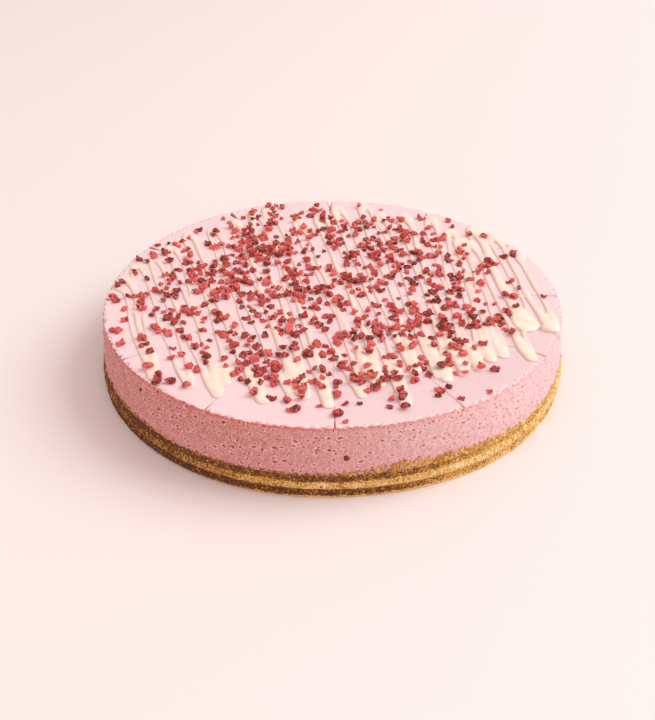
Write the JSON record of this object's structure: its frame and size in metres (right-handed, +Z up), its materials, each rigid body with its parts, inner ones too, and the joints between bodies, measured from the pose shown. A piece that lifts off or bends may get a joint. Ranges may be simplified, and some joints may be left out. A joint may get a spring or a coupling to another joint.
{
  "type": "raspberry cheesecake",
  "caption": "Round raspberry cheesecake: pressed biscuit base, pink mousse layer marked into portions, zigzag white chocolate drizzle and scattered freeze-dried raspberry pieces.",
  "frame": {"origin": "middle of the flat underside of the biscuit base", "axes": "+Z up; -Y towards the side that the picture shows; one portion mark points about along -Y"},
  "size_m": [0.259, 0.2592, 0.0434],
  "materials": {
    "biscuit": "pressed golden-brown biscuit crumbs, dry, coarse and matte",
    "mousse": "pale pink set mousse, smooth and faintly satin on top, full of small air holes at the side",
    "white_chocolate": "set white chocolate, creamy ivory with a soft sheen",
    "raspberry": "freeze-dried raspberry, deep red, dry and rough"
  },
  "bodies": {
    "root": {"biscuit_base": "biscuit", "raspberry_mousse": "mousse"}
  },
  "joints": []
}
